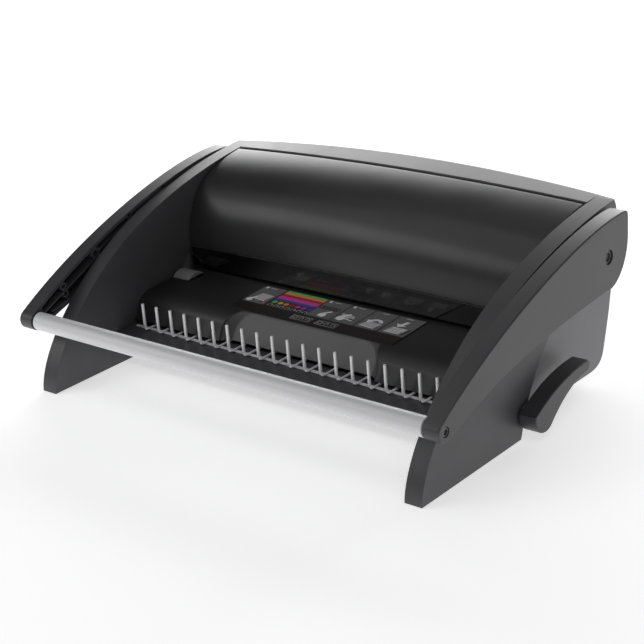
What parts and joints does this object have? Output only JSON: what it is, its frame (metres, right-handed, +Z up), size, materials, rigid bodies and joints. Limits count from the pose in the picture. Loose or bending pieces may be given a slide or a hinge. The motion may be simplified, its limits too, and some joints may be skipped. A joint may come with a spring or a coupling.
{
  "type": "comb binding machine",
  "caption": "Manual comb binding machine: a long handle drives a row of sheet punches, and a side lever pulls hooks that open a plastic comb held on upright fingers.",
  "frame": {"origin": "centre of the footprint on the surface it stands on, with the handle down", "axes": "+X to the right seen from the front, along the row of fingers; +Y from the handle grip towards the rear; +Z up"},
  "size_m": [0.376, 0.2496, 0.1369],
  "materials": {
    "charcoal_plastic": "fine matt spark texture",
    "satin_black_plastic": "satin",
    "gloss_black_plastic": "mirror gloss",
    "deck_plastic": "satin",
    "smoke_plastic": "satin",
    "grey_plastic": "fine matt",
    "printed_label": "printed film, satin",
    "grip_metal": "satin anodised",
    "bright_steel": "bright plated",
    "punch_steel": "ground",
    "dark_steel": "zinc plated, dull",
    "screw_steel": "black oxide",
    "bush_brass": "plain",
    "foot_rubber": "matt"
  },
  "bodies": {
    "housing": {"left_side_panel": "charcoal_plastic", "right_side_panel": "charcoal_plastic", "top_frame": "charcoal_plastic", "rear_housing": "charcoal_plastic", "base_tray": "charcoal_plastic", "front_cover": "satin_black_plastic", "throat_fascia": "gloss_black_plastic", "deck_cover": "deck_plastic", "instruction_label": "printed_label", "finger_plate": "bright_steel", "lower_die": "bright_steel", "upper_die": "bright_steel", "paper_stop": "dark_steel", "left_chassis_plate": "dark_steel", "right_chassis_plate": "dark_steel", "left_shaft_bush": "bush_brass", "right_shaft_bush": "bush_brass", "front_left_foot": "foot_rubber", "front_right_foot": "foot_rubber", "rear_left_foot": "foot_rubber", "rear_right_foot": "foot_rubber"},
    "handle": {"left_handle_arm": "charcoal_plastic", "right_handle_arm": "charcoal_plastic", "left_pivot_screw": "screw_steel", "right_pivot_screw": "screw_steel", "left_grip_screw": "screw_steel", "right_grip_screw": "screw_steel", "left_handle_crank": "dark_steel", "right_handle_crank": "dark_steel", "grip_tube": "grip_metal", "drive_shaft": "bright_steel"},
    "punch": {"punch_bar": "dark_steel", "punch_pin_01": "punch_steel", "punch_pin_02": "punch_steel", "punch_pin_03": "punch_steel", "punch_pin_04": "punch_steel", "punch_pin_05": "punch_steel", "punch_pin_06": "punch_steel", "punch_pin_07": "punch_steel", "punch_pin_08": "punch_steel", "punch_pin_09": "punch_steel", "punch_pin_10": "punch_steel", "punch_pin_11": "punch_steel", "punch_pin_12": "punch_steel", "punch_pin_13": "punch_steel", "punch_pin_14": "punch_steel", "punch_pin_15": "punch_steel", "punch_pin_16": "punch_steel", "punch_pin_17": "punch_steel", "punch_pin_18": "punch_steel", "punch_pin_19": "punch_steel", "punch_pin_20": "punch_steel", "punch_pin_21": "punch_steel"},
    "comb_lever": {"comb_lever": "charcoal_plastic", "opener_shaft": "bright_steel", "left_opener_crank": "dark_steel", "right_opener_crank": "dark_steel"},
    "hooks": {"hook_plate": "bright_steel"},
    "edge_guide": {"edge_guide": "grey_plastic"},
    "chip_tray": {"chip_tray": "smoke_plastic"}
  },
  "joints": [
    {"name": "handle_hinge", "type": "hinge", "parent": "housing", "child": "handle", "pos_m": [0, 0.07437, 0.1022], "axis": [-1, 0, 0], "range_deg": [0, 65]},
    {"name": "punch_slide", "type": "slide", "parent": "housing", "child": "punch", "axis": [0, 0, 1], "range_m": [0, 0.0129]},
    {"name": "comb_lever_hinge", "type": "hinge", "parent": "housing", "child": "comb_lever", "pos_m": [0, -0.00713, 0.0185], "axis": [1, 0, 0], "range_deg": [0, 42]},
    {"name": "hook_slide", "type": "slide", "parent": "housing", "child": "hooks", "axis": [0, -1, 0], "range_m": [0, 0.0122]},
    {"name": "edge_guide_slide", "type": "slide", "parent": "housing", "child": "edge_guide", "axis": [1, 0, 0], "range_m": [0, 0.008]},
    {"name": "chip_tray_slide", "type": "slide", "parent": "housing", "child": "chip_tray", "axis": [0, 1, 0], "range_m": [0, 0.095]}
  ],
  "couplings": [
    {"joint": "punch_slide", "follows": "handle_hinge", "m_per_rad": 0.01135},
    {"joint": "hook_slide", "follows": "comb_lever_hinge", "m_per_rad": 0.01662}
  ]
}
